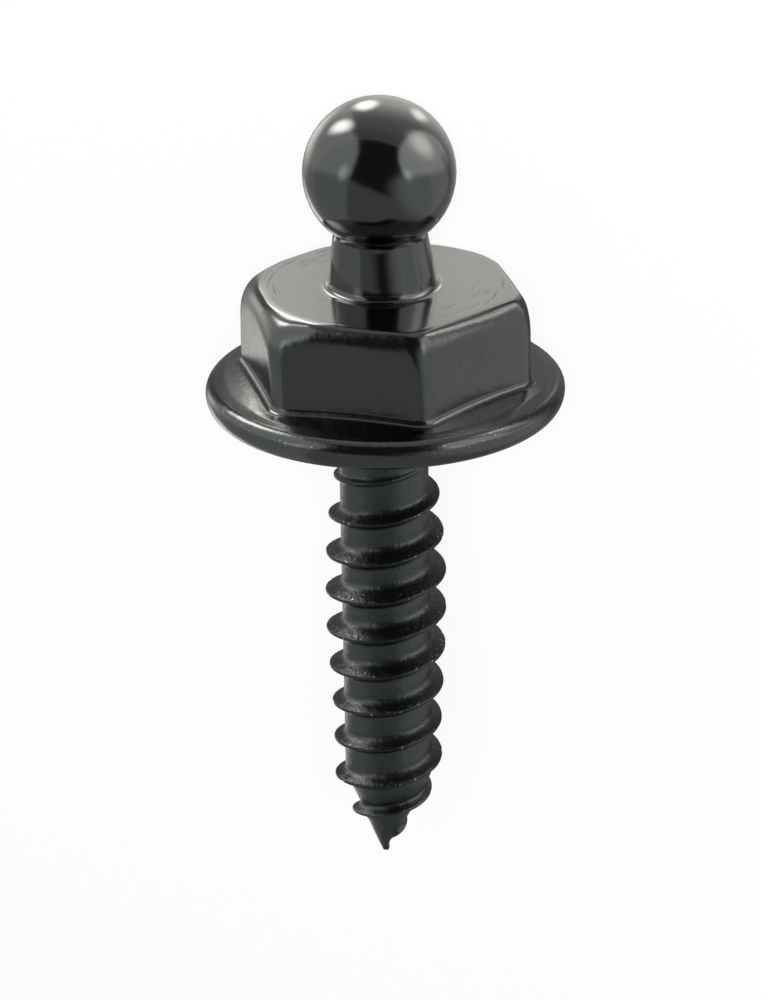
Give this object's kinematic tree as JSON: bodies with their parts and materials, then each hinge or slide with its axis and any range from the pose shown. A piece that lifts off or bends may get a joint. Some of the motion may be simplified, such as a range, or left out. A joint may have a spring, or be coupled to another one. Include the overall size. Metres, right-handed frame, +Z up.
{
  "type": "ball stud sheet metal screw",
  "caption": "Dark plated sheet metal screw with a ball stud above a flanged hexagon head; a press-on socket snaps over the ball.",
  "frame": {"origin": "on the ground, below the centre of the screw's box as it lies", "axes": "the screw lies on its ball and its flange rim, with its axis in the XZ plane: the ball end towards +X and low, the point towards -X and raised; +Z up"},
  "size_m": [0.0288, 0.0136, 0.015],
  "materials": {
    "plating": "glossy dark gunmetal plating over steel, duller on the rolled thread"
  },
  "bodies": {
    "root": {"stud_screw": "plating"}
  },
  "joints": []
}
